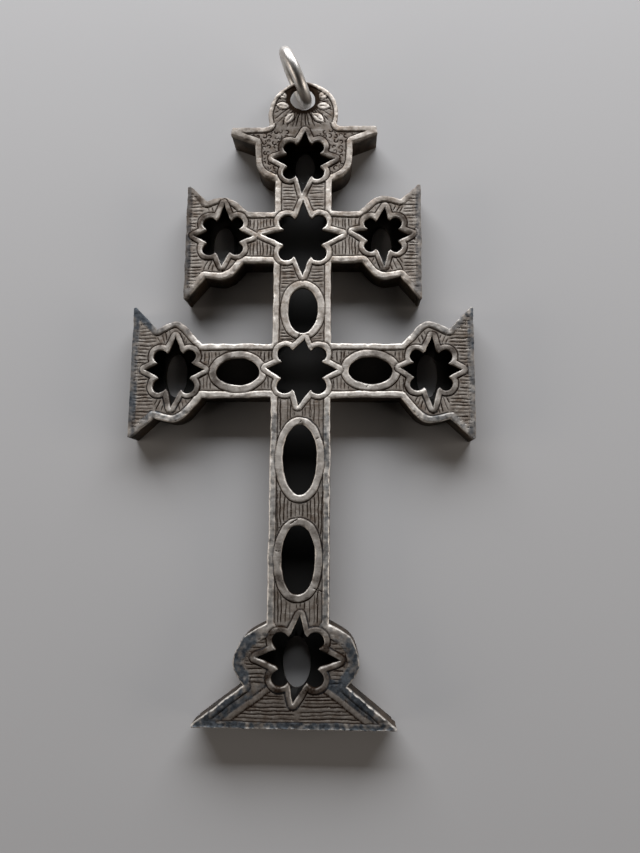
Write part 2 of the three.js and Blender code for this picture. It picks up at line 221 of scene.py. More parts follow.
def leaning(points):
    """The foot sits a little to the left."""
    shift = FOOT_LEAN * np.maximum(0, 1 - points[:, 1] / FOOT_BELOW)
    return points + np.column_stack([shift, np.zeros(len(points))])


def rounded_corner(start, arc, reach=1.1):
    """The first half of an arc with the corner before it filled by a small hollow curve."""
    corner, first = arc[0], np.flatnonzero(np.linalg.norm(arc - arc[0], axis=1) > reach)[0]
    before = corner + (start - corner) / np.linalg.norm(start - corner) * reach
    t = (np.arange(8) / 8)[:, None]
    curve = before * (1 - t) ** 2 + 2 * corner * t * (1 - t) + arc[first] * t ** 2
    return np.vstack([curve, arc[first:len(arc) // 2]])


# %% Outline


def circle(turn):
    """Points on a circle of radius 1 at these angles."""
    return np.column_stack([np.cos(turn), np.sin(turn)])


def cross_outline(with_lug, worn=True):
    """The cross's outer edge, counter-clockwise from the foot."""
    def bar(end, y, side):
        p = end_half(end, worn)
        return np.column_stack([p[:, 0], y + side * p[:, 1]])
    foot = end_half(FOOT, worn)[:, ::-1][::-1] * [1, -1]
    top = end_half(TOP, worn)[:, ::-1]
    half = np.vstack([
        foot, [[STEM_HALF, LOWER_Y - LOWER_HALF]],
        bar(LOWER_DOWN, LOWER_Y, -1), bar(LOWER_UP, LOWER_Y, 1)[::-1],
        [[STEM_HALF, LOWER_Y + LOWER_HALF], [STEM_HALF, UPPER_Y - UPPER_HALF]],
        bar(UPPER_DOWN, UPPER_Y, -1), bar(UPPER_UP, UPPER_Y, 1)[::-1],
        [[STEM_HALF, UPPER_Y + UPPER_HALF]], top])
    half, mirrored = leaning(half), leaning((half * [-1, 1])[::-1])
    start = math.asin((TOP_END - LUG_AT[1]) / LUG_RADIUS)
    lug = LUG_AT + LUG_RADIUS * circle(np.linspace(start, math.pi - start, 90))
    if worn:
        lug = np.vstack([rounded_corner(half[-1], lug), rounded_corner(mirrored[0], lug[::-1])[::-1]])
    return np.vstack([half, lug, mirrored]) if with_lug else np.vstack([half, mirrored])


OUTLINE = cross_outline(True)
print("outline points", len(OUTLINE), "height", OUTLINE[:, 1].max(), "width", np.ptp(OUTLINE[:, 0]))

# %% [markdown]
# ## The windows
# A star is four pointed rays with a round lobe between each two. Seen from its middle, its edge in every
# direction is whichever reaches further, the ray's edge or the lobe's, so a turn around the middle draws it.
# The raised band around it is the same star with its edges moved out.

# %% Sizes of the windows
# Middle, size, how much lower the two lower lobes are, and the tips of the four rays.
STARS = [
    ((0, 78.2), 0.87, 0.15, [(4.5, 0.05), (0.2, 4.45), (-4.5, 0.28), (-0.16, -5.3)]),
    ((0, 66.4), 1, 0.2, [(5.6, 0.3), (0, 5.55), (-5.9, 0.33), (0.05, -5.8)]),
    ((-11.45, 66.6), 0.85, 0.05, [(4.35, -0.1), (0, 4.85), (-4.2, 0), (-0.1, -4.55)]),
    ((11.4, 66.6), 0.78, 0, [(4, 0.08), (0.3, 4.2), (-4.25, 0.5), (0.25, -4.6)]),
    ((0.1, 47), 1, 0, [(5, 0.05), (0.36, 4.4), (-4.9, 0.3), (-0.5, -5.05)]),
    ((-17.7, 47), 0.87, 0.4, [(4.25, 0), (0.1, 4.75), (-4.15, 0), (-0.3, -5.4)]),
    ((17.9, 47), 0.85, 0.05, [(4.3, 0), (0.2, 4.8), (-4.25, 0.3), (0.1, -5.25)]),
    ((0.05, 8.75), 1, 0.35, [(5.45, -0.12), (0.25, 5.5), (-5.45, 0.05), (-0.55, -5.6)]),
]
# Middle, half width, half height, and for some how much fuller than an ellipse.
OVALS = [(0.13, 55.6, 2.1, 3.3, 2.1), (-8.75, 46.72, 3.05, 1.95), (9.6, 46.93, 3.05, 1.95),
         (-0.03, 34.6, 2.35, 4.8), (-0.1, 21.25, 2.25, 4.5, 2.2)]
# For a star of size 1: where a lobe meets the level and the upright ray, and the lobe's circle.
NOTCH_LEVEL, NOTCH_UPRIGHT = (2.9, 1.1), (0.95, 3.15)
LOBE_AT, LOBE_RADIUS = (2.3, 2.2), 1.15
QUARTERS = [(1, 1), (-1, 1), (-1, -1), (1, -1)]
# Widths of the raised bands.
STAR_BAND, OVAL_BAND = 0.66, 0.95

# %% Outlines moved out


def cross2(a, b):
    """The z part of the cross product of plane vectors."""
    return a[..., 0] * b[..., 1] - a[..., 1] * b[..., 0]


def unit(ways):
    """Directions with a length of 1."""
    return ways / np.maximum(np.linalg.norm(ways, axis=1), 1e-9)[:, None]


def left_of(ways):
    """Directions turned a quarter to the left."""
    return ways[..., ::-1] * [-1, 1]


def moved_out(corners, distance):
    """A closed outline moved outwards: each corner's incoming edge by its own distance, or all by one."""
    a, b = unit(corners - np.roll(corners, 1, 0)), unit(np.roll(corners, -1, 0) - corners)
    arriving = np.broadcast_to(distance, len(corners))[:, None]
    leaving = np.roll(arriving, -1, 0)
    turn = cross2(a, b)[:, None]
    straight = np.abs(turn) < 1e-3
    outward = -arriving * left_of(a)
    return corners + np.where(straight, outward, (leaving * a - arriving * b) / np.where(straight, 1, turn))


# %% Stars and ovals


def star_loop(middle, size, low, tips):
    """The star's edge, counter-clockwise."""
    corners, lobes = [], []
    for i, (sx, sy) in enumerate(QUARTERS):
        drop = low if sy < 0 else 0
        level = (sx * NOTCH_LEVEL[0] * size, sy * NOTCH_LEVEL[1] * size)
        upright = (sx * NOTCH_UPRIGHT[0] * size, sy * NOTCH_UPRIGHT[1] * size - drop)
        corners += [tips[i], level, upright] if i % 2 == 0 else [tips[i], upright, level]
        lobes.append((sx * LOBE_AT[0] * size, sy * LOBE_AT[1] * size - drop))
    corners, lobes = np.array(corners, float), np.array(lobes)
    radius = LOBE_RADIUS * size
    angles = np.unique(np.concatenate([
        np.arctan2(corners[:, 1], corners[:, 0]) % (2 * math.pi), np.linspace(0, 2 * math.pi, 240)[:-1]]))
    way = circle(angles)
    start, edge = corners, np.roll(corners, -1, 0) - corners
    across = cross2(way[:, None], edge[None])
    along = cross2(start[None], edge[None]) / across
    part = cross2(start[None], way[:, None]) / across
    hit = (part > -1e-9) & (part < 1 + 1e-9) & (along > 0)
    ray = np.where(hit, along, 0).max(1)
    nearest = way @ lobes.T
    inside = radius ** 2 - (np.sum(lobes ** 2, 1)[None] - nearest ** 2)
    lobe = np.where((inside > 0) & (nearest > 0), nearest + np.sqrt(np.maximum(inside, 0)), 0).max(1)
    return np.array(middle) + way * np.maximum(ray, lobe)[:, None]


def oval_loop(x, y, half_width, half_height, fullness=2, sides=72):
    """An oval, fuller than an ellipse where the fullness is over 2."""
    wave = circle(np.arange(sides) / sides * 2 * math.pi)
    shape = np.sign(wave) * np.abs(wave) ** (2 / fullness)
    return np.array([x, y]) + shape * [half_width, half_height]


WINDOWS = [star_loop(*star) for star in STARS] + [oval_loop(*oval) for oval in OVALS]
BAND_WIDTHS = [STAR_BAND] * len(STARS) + [OVAL_BAND] * len(OVALS)
HOLE = oval_loop(*HOLE_AT, HOLE_RADIUS, HOLE_RADIUS, sides=64)
print("windows", len(WINDOWS), "and the hole in the lug")

# %% [markdown]
# ## How far from an edge
# The height of the engraved front depends on two distances: how far a point is from the nearest cut edge,
# which is worn round, and how far from the nearest raised rim or band. Both come from one function.

# %% Distance to an outline


def signed_distance(points, loop, reach):
    """Distance to a closed outline, negative inside it. Beyond reach it just says reach."""
    result = np.full(len(points), float(reach))
    near = np.all((points > loop.min(0) - reach) & (points < loop.max(0) + reach), axis=1)
    index = np.flatnonzero(near)
    a, b = loop, np.roll(loop, -1, 0)
    edge = b - a
    length2 = np.maximum((edge ** 2).sum(1), 1e-12)
    for part in np.array_split(index, max(1, len(index) // 3000)):
        p = points[part][:, None]
        t = np.clip(((p - a) * edge).sum(2) / length2, 0, 1)
        gap = np.sqrt((((a + t[..., None] * edge) - p) ** 2).sum(2).min(1))
        straddles = (a[:, 1] > p[..., 1]) != (b[:, 1] > p[..., 1])
        x_there = a[:, 0] + (p[..., 1] - a[:, 1]) * edge[:, 0] / np.where(edge[:, 1] == 0, 1e-12, edge[:, 1])
        inside = (straddles & (p[..., 0] < x_there)).sum(1) % 2 == 1
        result[part] = np.where(inside, -gap, np.minimum(gap, reach))
    return result


# %% Rims and ridges


def smooth_step(x, low, high):
    """0 below low, 1 above high, and a smooth rise between them."""
    t = np.clip((x - low) / (high - low), 0, 1)
    return t * t * (3 - 2 * t)


# Widths of the raised rim: along the bars and the stem, around the foot's lobes, and around the lug.
RIM, FOOT_RIM, LUG_RIM = 0.82, 1.5, 0.55
# From here outwards the bars' rims are worn away.
UPPER_OPEN, LOWER_OPEN = 14.3, 20.6
# The two low ridges that run from the foot's star to its corners.
RIDGES = [((side * 2.9, 5.5), (side * 9.3, 0.9)) for side in (-1, 1)]
# Distances over this many millimetres make no difference to the relief.
REACH = 3.0


def between_lobes(y):
    """1 at the height of the foot's lobes."""
    return smooth_step(y, 5.6, 6.6) * (1 - smooth_step(y, 12.4, 13.4))


def rim_width(points):
    """The rim is widest around the foot's lobes and narrowest around the lug."""
    y = points[:, 1]
    from_lug = np.hypot(*(points - LUG_AT).T)
    return np.where((y > 83.9) & (from_lug > 3.5), LUG_RIM, RIM + (FOOT_RIM - RIM) * between_lobes(y))


def open_ends(points):
    """1 where the rim is worn down to the ground: along the bars' ends and around the foot's lobes."""
    x, y = np.abs(points[:, 0]), points[:, 1]
    on_bars = smooth_step(x - np.where(y > BETWEEN_BARS, UPPER_OPEN, LOWER_OPEN), 0, 0.8) * (y > 30)
    return np.maximum(on_bars, smooth_step(x, 4.4, 5.0) * between_lobes(y))


# %% Distances on the front


def relief(points):
    """Distances in millimetres to the nearest cut edge, raised work, star's band and oval's band."""
    inward = -signed_distance(points, OUTLINE, 1.0)
    edge = np.minimum(inward, signed_distance(points, HOLE, REACH))
    raised = inward - rim_width(points)
    star_band, oval_band = np.full((2, len(points)), REACH)
    for loop, width in zip(WINDOWS, BAND_WIDTHS):
        gap = signed_distance(points, loop, REACH)
        edge, raised = np.minimum(edge, gap), np.minimum(raised, gap - width)
        if width == STAR_BAND:
            star_band = np.minimum(star_band, gap - width)
        else:
            oval_band = np.minimum(oval_band, gap - width)
    return edge, raised, star_band, oval_band


def from_ridges(points):
    """Distance to the middle of the nearer ridge on the foot."""
    nearest = np.full(len(points), REACH)
    for start, end in RIDGES:
        a, b = np.array(start), np.array(end)
        t = np.clip(((points - a) @ (b - a)) / ((b - a) @ (b - a)), 0, 1)
        nearest = np.minimum(nearest, np.hypot(*(points - a - t[:, None] * (b - a)).T))
    return nearest


def beyond_ridge(x, y):
    """How far to the side of the foot's ridges a point lies."""
    return abs(x) - (9.3 - (y - 0.9) * 1.39)


# %% [markdown]
# ## Engraving
# The sunk ground between the bands is hatched with a graver. The cuts run across the stem above the lower
# bar and along it below, across the bars, and fan out around the stars at the ends. A hand-cut line is never
# quite straight or evenly deep, so every cut gets its own small errors, from a fixed seed.

# %% Where the hatching lies
# Leaves on the lug: middle counted from the hole's, angle and length.
LEAVES = [(-2.95, -1.2, 172, 1.05), (2.98, -1.3, -8, 1.1), (-1.95, -3.25, 232, 1.1), (2.25, -3.15, -40, 1.25),
          (-3.0, 0.5, 155, 0.8), (3.05, 0.45, 22, 0.8)]


def on_lug(x, y):
    """Inside the lug, clear of its leaves."""
    x, y = (x, y) - HOLE_AT
    free = min(math.hypot(x - leaf[0], y - leaf[1]) for leaf in LEAVES) > 0.85
    return y > -4.6 and free and math.hypot(x, y) > 2.15


def on_stem(low, high):
    """A test for points of the stem between two heights."""
    return lambda x, y: abs(x) < 4.3 and low < y < high


def on_bar(level, reach):
    """A test for points of a bar between the stem and its ends."""
    return lambda x, y: 4.3 < abs(x) < reach and abs(y - level) < 3.6


def around_star(level, reach):
    """A test for points above and below the star of a bar's end."""
    return lambda x, y: reach - 6.3 < abs(x) < reach and abs(y - level) > 3.2


# %% Lines of the graver
cut_random = random.Random(11)


def straight(start, end):
    """Points along a line, 0.14 mm apart."""
    count = max(2, int(np.linalg.norm(end - start) / 0.14))
    return start + np.linspace(0, 1, count)[:, None] * (end - start)


def direction(degrees):
    """The direction at an angle."""
    return np.array([math.cos(math.radians(degrees)), math.sin(math.radians(degrees))])


def parallel_lines(box, angle, pitch):
    """Lines at an angle over a box (x0, y0, x1, y1)."""
    middle = np.array([(box[0] + box[2]) / 2, (box[1] + box[3]) / 2])
    half = math.hypot(box[2] - box[0], box[3] - box[1]) / 2
    way, side = direction(angle), left_of(direction(angle))
    for k in range(int(-half / pitch), int(half / pitch) + 1):
        lean = cut_random.uniform(-0.03, 0.03)
        start = middle + side * (k + cut_random.uniform(-0.12, 0.12)) * pitch
        yield straight(start - (way + side * lean) * half, start + (way + side * lean) * half)


def fan_lines(middle, inner, outer, pitch):
    """Lines that radiate from a middle, between two distances."""
    count = int(2 * math.pi * 5.6 / pitch)
    for k in range(count):
        angle = 2 * math.pi * (k + cut_random.uniform(-0.15, 0.15)) / count
        way = np.array([math.cos(angle), math.sin(angle)])
        yield straight(middle + way * inner, middle + way * outer)


def scrolls(box, gap):
    """Small hooked curves, side by side over a box (x0, y0, x1, y1)."""
    for x in np.arange(box[0], box[2], gap):
        for y in np.arange(box[1], box[3], gap):
            middle = [x + cut_random.uniform(-0.15, 0.15), y + cut_random.uniform(-0.15, 0.15)]
            turn = cut_random.uniform(0, 6.3) + np.linspace(0, 4.2, 16)
            radius = gap * cut_random.uniform(0.34, 0.46) * np.linspace(0.5, 1, 16)
            yield middle + radius[:, None] * circle(turn)


# %% Hatched zones


def hatch_zones():
    """(lines, test that a point belongs to the zone) for every hatched area."""
    zones = [(parallel_lines((-4, 48, 4, 80), 0, 0.47), on_stem(49, 75)),
             (parallel_lines((-4, 12, 4, 45), 90, 0.5), on_stem(13.2, 44.5))]
    # Both sides alike: the two bars, their ends, and the foot beside and below its lobes.
    mirrored = [((2.6, 43, 14.4, 51), 90, 0.5, on_bar(LOWER_Y, 14.4)),
                ((2.6, 62, 8.6, 71), 90, 0.47, on_bar(UPPER_Y, 8.6)),
                ((14.0, 56, 17.0, 76), 0, 0.5, lambda x, y: abs(x) > 14.2 and y > 57),
                ((20.2, 36, 24.0, 58), 0, 0.5, lambda x, y: abs(x) > 20.3 and 36 < y < 57),
                ((3.2, 5, 8.5, 14), 0, 0.55, lambda x, y: abs(x) > 3.9 and 5.6 < y < 13.2),
                ((1.0, 0.8, 8.5, 5.5), 0, 0.45, lambda x, y: y < 5.3 and beyond_ridge(x, y) < -0.6)]
    for side in (-1, 1):
        for (near, low, far, high), angle, pitch, belongs in mirrored:
            left, right = sorted((side * near, side * far))
            zones.append((parallel_lines((left, low, right, high), angle, pitch), belongs))
    for number, belongs in ((2, around_star(UPPER_Y, 14.2)), (3, around_star(UPPER_Y, 14.2)),
                            (5, around_star(LOWER_Y, 20.3)), (6, around_star(LOWER_Y, 20.3))):
        zones.append((fan_lines(STARS[number][0], 3.4, 7.5, 0.6), belongs))
    zones.append((scrolls((-9, 75.4, 9, 83.4), 0.8), lambda x, y: 75 < y < 83 and abs(x) > 2.2))
    zones.append((fan_lines(HOLE_AT, 2.2, 5.2, 0.8), on_lug))
    return zones


# %% One cut
CUT_WIDTH, CUT_DEPTH = 0.14, 0.075


def one_cut(line, strength=1.0):
    """Rows of (x, y, depth below the ground) along the middle and both lips of one cut."""
    sides = left_of(unit(np.gradient(line, axis=0)))
    depth = CUT_DEPTH * cut_random.uniform(0.55, 1.2) * strength
    width = CUT_WIDTH * cut_random.uniform(0.8, 1.15)
    phase = cut_random.uniform(0, 6)
    rows = []
    for i, (point, side) in enumerate(zip(line, sides)):
        taper = min(1, 0.35 + min(i, len(line) - 1 - i) * 0.4)
        middle = point + side * 0.02 * math.sin(phase + i * 0.4)
        rows += [(*middle, depth * taper), (*(middle + side * width), 0.0), (*(middle - side * width), 0.0)]
    return rows


# %% All cuts
# Single deeper scores across the ground, from where to where.
CRACKS = [((-2.75, 25.4), (-1.25, 26.4)), ((-1.2, 25.9), (-0.1, 26.75)), ((-0.75, 38.9), (0.15, 39.95)),
          ((2.0, 17.6), (3.3, 17.2)), ((-3.1, 22.4), (-2.3, 22.3)), ((1.5, 36.9), (2.6, 37.6)),
          ((1.1, 68.8), (2.6, 69.9)), ((-0.8, 51.2), (-0.1, 52.4)), ((9.0, 44.4), (9.4, 45.1))]


def graver_cuts():
    """Every zone's lines, kept only where they lie on open ground of their zone."""
    points, owner, zone_of = [], [], []
    for lines, belongs in hatch_zones():
        for line in lines:
            points.append(line)
            owner += [len(points)] * len(line)
            zone_of += [belongs] * len(line)
    points, owner = np.vstack(points), np.array(owner)
    good = np.array([belongs(x, y) for (x, y), belongs in zip(points, zone_of)])
    points, owner = points[good], owner[good]
    edge, raised, star_band, _ = relief(points)
    on_ground = (raised > 0.2 - 0.5 * open_ends(points)) & (star_band > 0.2)
    on_ground &= (edge > 0.4) & (from_ridges(points) > 0.45)
    breaks = np.flatnonzero((np.diff(owner) != 0) | (np.hypot(*np.diff(points, axis=0).T) > 0.3)) + 1
    rows = []
    for stretch in np.split(np.arange(len(points)), breaks):
        marks = np.flatnonzero(np.diff(on_ground[stretch].astype(int)) != 0) + 1
        for run in np.split(stretch, marks):
            if len(run) > 3 and on_ground[run[0]]:
                rows += one_cut(points[run])
    for start, end in CRACKS:
        rows += one_cut(straight(np.array(start), np.array(end)), 1.6)
    return np.array(rows)


CUTS = graver_cuts()
print("points along cuts", len(CUTS))

# %% [markdown]
# ## The engraved front
# No primitive comes near this relief, so its skin is laid out like a drawing: points follow every edge, band
# and cut, ordinary points fill the rest, and a constrained Delaunay triangulation joins them without
# crossing an edge. The height of each point comes from its distances, and from the cut it belongs to.

# %% Rows of points
RAISED_Z, GROUND_Z = 3.97, 3.84
EDGE_STEP, PITCH = 0.15, 0.17
# Rows of points this far inside a cut edge draw how it is worn round, and rows this far across a band's edge
# draw the step down to the ground. Nearer than CLEAR to a cut edge only its own rows lie.
SHOULDER_ROWS, STEP_ROWS, CLEAR = (0.06, 0.14, 0.24), (-0.06, 0.03, 0.11, 0.21), 0.28


def along(loop, step):
    """A closed outline with more points, its corners kept."""
    rows = []
    for a, b in zip(loop, np.roll(loop, -1, 0)):
        count = max(1, math.ceil(np.linalg.norm(b - a) / step))
        rows.append(a + np.arange(count)[:, None] / count * (b - a))
    return np.vstack(rows)


def beside(loop, distance):
    """Points next to a counter-clockwise outline: outside it, or inside where the distance is negative."""
    return loop - distance * left_of(unit(np.roll(loop, -1, 0) - np.roll(loop, 1, 0)))


def thinned(points, tree, gap):
    """Only the points further than gap from those in the tree."""
    return np.array([p for p in points if tree.find((p[0], p[1], 0))[2] > gap])


def tree_of(points):
    """A search tree over plane points."""
    tree = kdtree.KDTree(len(points))
    for i, p in enumerate(points):
        tree.insert((p[0], p[1], 0), i)
    tree.balance()
    return tree


# %% Points of the front
loops = [along(loop, EDGE_STEP) for loop in [OUTLINE] + WINDOWS + [HOLE]]
border = np.vstack(loops)
counts = [len(loop) for loop in loops]
shoulder = np.vstack([beside(loop, gap if k else -gap) for k, loop in enumerate(loops)
                      for gap in SHOULDER_ROWS])
edge = relief(shoulder)[0]
shoulder = shoulder[(edge > 0.05) & (edge < 0.26)]
steps = [beside(along(window, PITCH), width + gap) for window, width in zip(WINDOWS, BAND_WIDTHS)
         for gap in STEP_ROWS]
outer_edge = along(OUTLINE, PITCH)
steps += [beside(outer_edge, -rim_width(outer_edge)[:, None] - gap) for gap in STEP_ROWS]
steps = np.vstack(steps)
edge, raised, star_band, oval_band = relief(steps)
near = [np.abs(distance - 0.08) < 0.15 for distance in (raised, star_band, oval_band)]
steps = steps[(edge > CLEAR) & (near[0] | near[1] | near[2])]
followers = np.vstack([shoulder, CUTS[:, :2], steps])
print("border", len(border), "shoulder", len(shoulder), "steps", len(steps))

# %% Fill the rest
# Rows 0.87 of the pitch apart, every other one moved by half of it, make even triangles.
low, high = OUTLINE.min(0), OUTLINE.max(0)
xs, ys = np.arange(low[0], high[0], PITCH), np.arange(low[1], high[1], PITCH * 0.87)
fill = np.stack(np.meshgrid(xs, ys), -1)
fill[1::2, :, 0] += PITCH / 2
fill = fill.reshape(-1, 2) + np.random.default_rng(3).uniform(-0.02, 0.02, (fill.size // 2, 2))
inward = signed_distance(fill, OUTLINE, 1.0)
fill = fill[inward < -0.2]
edge = relief(fill)[0]
fill = thinned(fill[edge > CLEAR], tree_of(followers), PITCH / 2)
plane_points = np.vstack([border, followers, fill])
print("all points", len(plane_points))

# %% Heights of the front
# In millimetres: the grooves beside a band and around a star or oval, the foot's ridges and the grooves
# beside them, how far a cut edge is worn down and how far in, and the foot's flattened lower edge.
BAND_GROOVE, WINDOW_GROOVE, RIDGE, RIDGE_GROOVE = 0.05, 0.09, 0.05, 0.04
ROUNDED, ROUNDED_WIDTH, SOFTENED, SOFTENED_WIDTH, FOOT_EDGE_Z = 0.11, 0.14, 0.03, 0.16, 3.86


def wandering(points, size, seed):
    """Smooth random values around 0 that change over about size millimetres."""
    return np.array([noise.noise((x / size, y / size, seed)) for x, y in points])


def bell(x, middle, width):
    """1 at the middle, and next to nothing further than twice the width from it."""
    return np.exp(-((x - middle) / width) ** 2)


edge, raised, star_band, oval_band = relief(plane_points)
edge, (x, y) = np.maximum(edge, 0), plane_points.T
broad, fine = wandering(plane_points, 2.1, 1), wandering(plane_points, 0.5, 2)
worn_down = open_ends(plane_points) * smooth_step(star_band, 0.25, 0.45)
ground_share = np.maximum(smooth_step(raised, -0.05, 0.10), 0.7 * worn_down)
from_ridge = from_ridges(plane_points)
on_ridge = 1 - smooth_step(from_ridge, 0.22, 0.42)
heights = RAISED_Z + (GROUND_Z - RAISED_Z) * ground_share + RIDGE * on_ridge * ground_share
# Grooves beside the raised work.
beside_bands = bell(raised, 0.10, 0.07) * (1 - 0.9 * worn_down)
on_rims = (raised < 0) & (star_band > 0)
beside_windows = np.maximum(bell(star_band, 0.10, 0.08) * (raised < 0),
                            0.8 * bell(oval_band, 0.10, 0.08) * on_rims)
heights -= BAND_GROOVE * beside_bands + WINDOW_GROOVE * beside_windows
# Raised work is softened towards its edge, and cut edges are worn round, here more and there less.
heights -= SOFTENED * (1 - np.clip(-raised / SOFTENED_WIDTH, 0, 1)) ** 2 * (1 - ground_share)
rounding = np.clip(1 + 0.8 * fine + 1.1 * broad, 0.3, 2)
heights -= ROUNDED * rounding * (1 - np.clip(edge / (ROUNDED_WIDTH * rounding), 0, 1)) ** 2
beside_ridges = bell(from_ridge, 0.45, 0.08) * ground_share * (y > 0.9)
heights -= RIDGE_GROOVE * beside_ridges
worn_flat = (1 - smooth_step(y, 0.95, 1.5)) * smooth_step(y, 0.1, 0.3)
heights += (FOOT_EDGE_Z + 0.05 * fine - heights) * 0.8 * worn_flat
# No cast face is flat: broad, fine and very fine unevenness, a little less on the ground.
heights += 0.03 * broad * (1 - 0.3 * ground_share)
heights += 0.024 * fine * (1 - 0.3 * ground_share) + 0.012 * wandering(plane_points, 0.22, 3)
cut_depth = np.zeros(len(plane_points))
first_cut = len(border) + len(shoulder)
cut_depth[first_cut:first_cut + len(CUTS)] = CUTS[:, 2]
heights -= cut_depth
print("deepest cut", cut_depth.max().round(2), "mm")

# %% [markdown]
# Knocks have dented the edges here and there, most of all along the outside. Leaves stand on the lug: each
# is a low pointed body with a groove around it and a short one, its eye, along its middle.

# %% Knocks and leaves
KNOCKS, MORE_OUTSIDE = 120, 150
knock_random = np.random.default_rng(5)
outside = border[:counts[0]]
knocks = np.vstack([border[knock_random.choice(len(border), KNOCKS, replace=False)],
                    outside[knock_random.choice(len(outside), MORE_OUTSIDE, replace=False)]])
for knock in knocks:
    away = np.hypot(*(plane_points - knock).T)
    size, deep = knock_random.uniform(0.12, 0.4), knock_random.uniform(0.03, 0.14)
    heights -= deep * bell(away, 0, size)
leaf_share, engraved = np.zeros(len(plane_points)), np.zeros(len(plane_points))
for leaf_x, leaf_y, angle, length in LEAVES:
    way = direction(angle)
    local = plane_points - (HOLE_AT + [leaf_x, leaf_y])
    u, v = local @ way / length, local @ left_of(way)
    half_width = 0.58 * np.clip(1 - u ** 2, 0, 1)
    body = smooth_step(half_width - np.abs(v), -0.04, 0.1) * (np.abs(u) < 1)
    eye = 0.6 * bell(v, 0, 0.07) * (np.abs(u) < 0.55)
    outline_cut = bell(np.abs(v) - half_width, 0.09, 0.06) * (np.abs(u) < 1.05)
    heights += ground_share * (0.07 * body - 0.08 * eye - 0.08 * outline_cut)
    leaf_share = np.maximum(leaf_share, body - 1.5 * eye)
    engraved = np.maximum(engraved, ground_share * np.maximum(eye, outline_cut))
heights = np.clip(heights, PLATE_UNDER + 0.2, PLATE_TOP)
print("relief from", heights.min().round(2), "to", heights.max().round(2), "mm")

# %% Join the points
starts = np.cumsum([0] + counts[:-1])
rings = [[int(s + i) for i in range(c)] for s, c in zip(starts, counts)]
ring_edges = [(ring[i], ring[(i + 1) % len(ring)]) for ring in rings for i in range(len(ring))]


def triangulated(points, faces, edges):
    """Triangles inside the first ring and outside the others, and which given point each new one is."""
    out = delaunay_2d_cdt([Vector(p) for p in points], edges, faces, 2, 1e-6)
    return out[2], [origin[0] if origin else -1 for origin in out[3]]


top_faces, top_first = triangulated(plane_points, rings, ring_edges)
under_faces, under_first = triangulated(border, rings, ring_edges)
print("top faces", len(top_faces), "extra points", sum(i < 0 for i in top_first))

# %% Close the plate


def mesh_object(name, vertices, faces):
    """A new object from rows of millimetres and faces."""
    mesh = bpy.data.meshes.new(name)
    mesh.from_pydata([tuple(v) for v in metres(vertices)], [], faces)
    mesh.validate()
    piece = bpy.data.objects.new(name, mesh)
    bpy.context.collection.objects.link(piece)
    return piece


def hand_made(points):
    """No edge of the real one is quite straight: the points wander a little, but stay in the same box."""
    shift = np.column_stack([0.13 * wandering(points, 3.4, seed) + 0.07 * wandering(points, 1.1, seed + 1)
                             + 0.02 * wandering(points, 0.3, seed + 2) for seed in (11, 15)])
    return np.clip(points + shift, points.min(0), points.max(0))


placed = hand_made(plane_points)
top_rows = np.column_stack([placed, heights])
under_rows = np.column_stack([placed[:len(border)], np.full(len(border), PLATE_UNDER)])
shift = len(top_rows)
faces = [[top_first[v] for v in face] for face in top_faces]
faces += [[shift + under_first[v] for v in reversed(face)] for face in under_faces]
for ring in rings:
    for i, j in zip(ring, ring[1:] + ring[:1]):
        faces.append([i, shift + i, shift + j, j])
front = mesh_object("engraved_front", np.vstack([top_rows, under_rows]), faces)
print("the front has", len(faces), "faces")

# %% [markdown]
# ## Dirt and shine
# The material has to know where dirt sits, where hands rub and where shade is painted, so each point of the
# front keeps a few shares. "hollow" is high in cuts and grooves, where dirt sits, and also carries painted
# shade: around the hole, in the windows' walls, over the foot, on the top's ground and on the bars' upper
# rims and ends.
# "edge" is high where an edge is worn bright, and is held back by painted shade towards the top. Smudges make
# both uneven, as breath and fingers do.

# %% Hollows


def write_share(piece, name, values):
    """Keeps one number from 0 to 1 for each point of a piece, for its material."""
    piece.data.attributes.new(name, "FLOAT", "POINT").data.foreach_set("value", np.asarray(values, float))


# Painted shade: the ground around the lug's hole is darkened, so that the hole looks deep.
hole_shade = 1 - smooth_step(np.hypot(*(plane_points - HOLE_AT).T), 1.9, 2.9)
on_lug_share = smooth_step(y, 83.4, 84.2) * ground_share
# Painted shade: the foot is darker towards the bottom.
foot_shade = 1 - smooth_step(y, 9, 14)
middle = (1 - smooth_step(np.abs(x), 5, 12)) * smooth_step(y, 15, 40) * (1 - smooth_step(y, 69, 76))
smudges = np.clip(0.5 + 1.5 * wandering(plane_points, 1.4, 31), 0, 1)
on_bands = (star_band < 0.05) | (oval_band < 0.05)
# Painted shade on the bars' upper rims and their ends, on the left more than on the right.
on_upper = y > BETWEEN_BARS
above_bar = y - np.where(on_upper, UPPER_Y, LOWER_Y)
on_end = smooth_step(np.abs(x) - np.where(on_upper, UPPER_END, LOWER_END), -1.3, -0.7)
rim_shade = smooth_step(np.abs(x) - np.where(on_upper, 3.6, 14.0), 0, 2)
rim_shade *= np.maximum(smooth_step(above_bar, 2.5, 4), on_end) * (y > 30) * np.where(x > 0, 0.6, 1)
grime_and_rim_shade = on_bands * (0.2 * (1 - middle) + (0.42 - 0.22 * middle) * smudges)
# The rims' share here is painted shade, not dirt; on the bands it is dirt.
grime_and_rim_shade += 0.4 * rim_shade * (raised < 0) * (0.5 + 0.5 * smudges) * ~on_bands
hollow = 0.28 * ground_share + 0.6 * beside_bands + 0.65 * beside_windows + cut_depth * 9 + grime_and_rim_shade
hollow += 0.7 * engraved + hole_shade - 0.03 * on_lug_share - 0.4 * leaf_share
# Painted shade: the top's ground is a little darker.
hollow += 0.5 * beside_ridges + 0.12 * smooth_step(y, 74, 76) * ground_share
# Painted shade over the foot, darker towards the bottom.
hollow = np.clip(hollow + 0.14 * foot_shade * (1 + beside_ridges), 0, 1)
